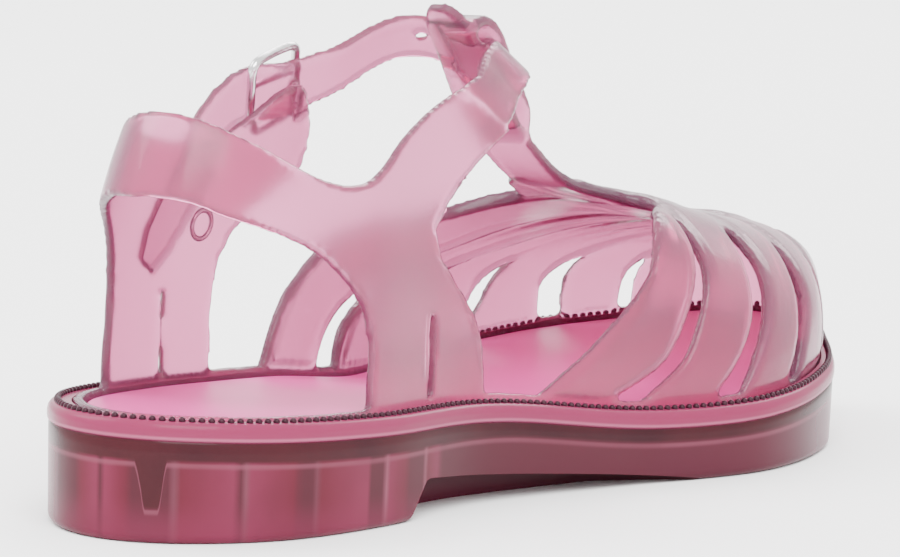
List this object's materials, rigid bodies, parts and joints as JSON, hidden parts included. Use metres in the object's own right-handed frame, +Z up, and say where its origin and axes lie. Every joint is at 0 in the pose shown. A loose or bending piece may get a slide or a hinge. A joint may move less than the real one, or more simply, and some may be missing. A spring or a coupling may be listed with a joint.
{
  "type": "jelly sandal",
  "caption": "Translucent pink jelly sandal for the left foot, with a closed woven-look vamp, T-bar, buckled ankle strap, heel band and ribbed moulded sole.",
  "frame": {"origin": "on the floor, under the middle of the sole's length and width", "axes": "+Y from the heel to the toe, +Z up, +X towards the medial (inner) side of the foot"},
  "size_m": [0.0978, 0.25, 0.0967],
  "materials": {
    "sole_pvc": "glossy translucent dark pink PVC",
    "insole_satin": "satin",
    "upper_pvc": "glossy translucent pale pink PVC",
    "buckle_metal": "polished"
  },
  "bodies": {
    "root": {"sole": "sole_pvc", "insole": "insole_satin", "upper": "upper_pvc", "buckle_frame": "buckle_metal", "buckle_prong": "buckle_metal", "slot_ring": "buckle_metal"}
  },
  "joints": []
}
